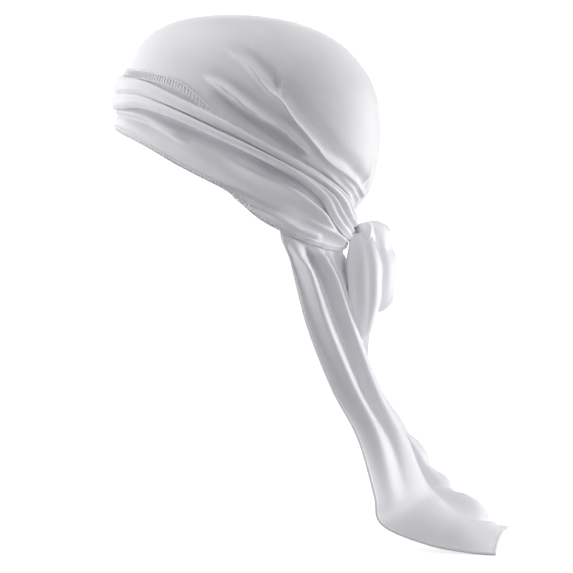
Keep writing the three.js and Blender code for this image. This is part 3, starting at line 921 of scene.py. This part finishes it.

# %% [markdown]
# ## Pieces and their places
# Nothing moves by itself here, so every piece rides on the one body and stands for its solid of the packed
# model, which is hidden. Stitches and hem have no solid of their own.

# %% Bodies, nodes and slots
PIECES = [
    # piece, node, slot, material
    (crown, "crown", "crown_cloth", crown_cloth),
    (under, "strap_under", "strap_cloth", strap_cloth),
    (over, "strap_over", "strap_cloth", strap_cloth),
    (tail, "tail", "tail_cloth", tail_cloth),
    (knot, "knot", "strap_cloth", bow_cloth_painted_light),
    (bow_loops["left"], "bow_loop_left", "strap_cloth", bow_cloth_painted_light),
    (bow_loops["right"], "bow_loop_right", "strap_cloth", bow_cloth_painted_light),
    (strap_ends["left"], "strap_end_left", "strap_cloth", bow_cloth_painted_light),
    (strap_ends["right"], "strap_end_right", "strap_cloth", bow_cloth_painted_light),
]
for piece, node, slot_name, material in PIECES:
    piece.data.materials.append(material)
    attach(piece, "root")
    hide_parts(node)
TRIM = [(piece, "strap_cloth", thread) for piece in stitches] + [(hem, "tail_cloth", thread)]
for piece, slot_name, material in TRIM:
    piece.data.materials.append(material)
    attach(piece, "root")
print(len(PIECES), "pieces for nodes and", len(TRIM), "pieces of trim")

# %% [markdown]
# ## Floor
# The tail's hem lies on a pale table. A plain sheet of paper is enough, and it glows a little towards the
# camera, so that it runs into the white background and keeps only a soft shadow.

# %% Floor
FLOOR, HALF_FLOOR, FLOOR_CENTRE = -0.400, 0.9, (0.06, 0.0)
PAPER_GLOW = 0.6
corner_signs = np.array([[-1, -1], [1, -1], [1, 1], [-1, 1]], float)
floor_points = np.column_stack([corner_signs * HALF_FLOOR + FLOOR_CENTRE, np.full(4, FLOOR)]) / MM
floor = new_object("studio_floor", floor_points, np.arange(4), np.array([0]))
paper = bpy.data.materials.new("pale_paper")
paper.use_nodes = True
paper_shader = paper.node_tree.nodes["Principled BSDF"]
paper_shader.inputs["Base Color"].default_value = (0.6, 0.6, 0.6, 1)
paper_shader.inputs["Roughness"].default_value = 0.9
paper_shader.inputs["Specular IOR Level"].default_value = 0.1
paper_shader.inputs["Emission Color"].default_value = (1, 1, 1, 1)
seen = paper.node_tree.nodes.new("ShaderNodeLightPath").outputs["Is Camera Ray"]
glow = math_node(paper.node_tree, "MULTIPLY", seen, PAPER_GLOW)
paper.node_tree.links.new(glow, paper_shader.inputs["Emission Strength"])
floor.data.materials.append(paper)
print("floor at", FLOOR, "m")

# %% [markdown]
# ## Light
# White cloth shows its folds only where the light falls off. One bright lamp would burn it out, so weak
# softboxes stand all round, stronger at the sides and above than in front, and a dim room fills the rest.

# %% Softboxes
LIGHT_TARGET = (0.03, 0, -0.15)
SOFTBOXES = [
    # name, place, size, power
    ("back_softbox", (0, 1.6, 0.3), (0.8, 0.8), 5),
    ("left_back_softbox", (-1.15, 1.1, 0.2), (0.8, 0.8), 3),
    ("left_softbox", (-1.55, -0.05, -0.2), (0.8, 0.8), 10.5),
    ("top_softbox", (-0.55, 0.1, 1.35), (0.7, 0.7), 9.5),
    ("right_softbox", (1.4, 0.5, -0.1), (0.8, 0.8), 12),
    ("front_right_fill", (1.1, -1.1, 0.2), (0.8, 0.8), 4.5),
]


def area_light(name, place, target, size, power):
    """Rectangular lamp turned towards a target: tilt from the height, heading from the plan."""
    data = bpy.data.lights.new(name, "AREA")
    data.shape = "RECTANGLE"
    data.size, data.size_y = size
    data.energy = power
    lamp = bpy.data.objects.new(name, data)
    bpy.context.collection.objects.link(lamp)
    lamp.location = place
    aim = np.array(target) - np.array(place)
    flat = np.hypot(aim[0], aim[1])
    lamp.rotation_euler = (np.arctan2(flat, -aim[2]), 0, np.arctan2(aim[1], aim[0]) - np.pi / 2)
    return lamp


for name, place, size, power in SOFTBOXES:
    area_light(name, place, LIGHT_TARGET, size, power)
print([name for name, *_ in SOFTBOXES])

# %% Room light and tone
ROOM_LIGHT = 0.27
EXPOSURE, GAMMA = 0.27, 0.78
world = bpy.data.worlds.new("studio")
world.use_nodes = True
backdrop = world.node_tree.nodes["Background"].inputs
backdrop["Color"].default_value = (1, 1, 1, 1)
seen = world.node_tree.nodes.new("ShaderNodeLightPath").outputs["Is Camera Ray"]
strength = math_node(world.node_tree, "MAXIMUM", seen, ROOM_LIGHT)
world.node_tree.links.new(strength, backdrop["Strength"])
bpy.context.scene.world = world
bpy.context.scene.view_settings.view_transform = "Standard"
bpy.context.scene.view_settings.exposure = EXPOSURE
bpy.context.scene.view_settings.gamma = GAMMA
print("room light:", ROOM_LIGHT)

# %% [markdown]
# ## Camera
# The camera looks at the left side from a little below the middle and from far off, with a long lens, so the
# head is seen almost without perspective.

# %% Camera
CAMERA_PLACE, CAMERA_TILT = (0.04142, -2.39415, -0.03747), 86
LENS, SENSOR = 198.4, 36
camera_data = bpy.data.cameras.new("photo_camera")
camera_data.lens, camera_data.sensor_width = LENS, SENSOR
camera_data.clip_end = 50
camera = bpy.data.objects.new("photo_camera", camera_data)
bpy.context.collection.objects.link(camera)
camera.location = CAMERA_PLACE
camera.rotation_euler = (np.radians(CAMERA_TILT), 0, 0)
bpy.context.scene.camera = camera
print("camera at", [round(value, 3) for value in camera.location])
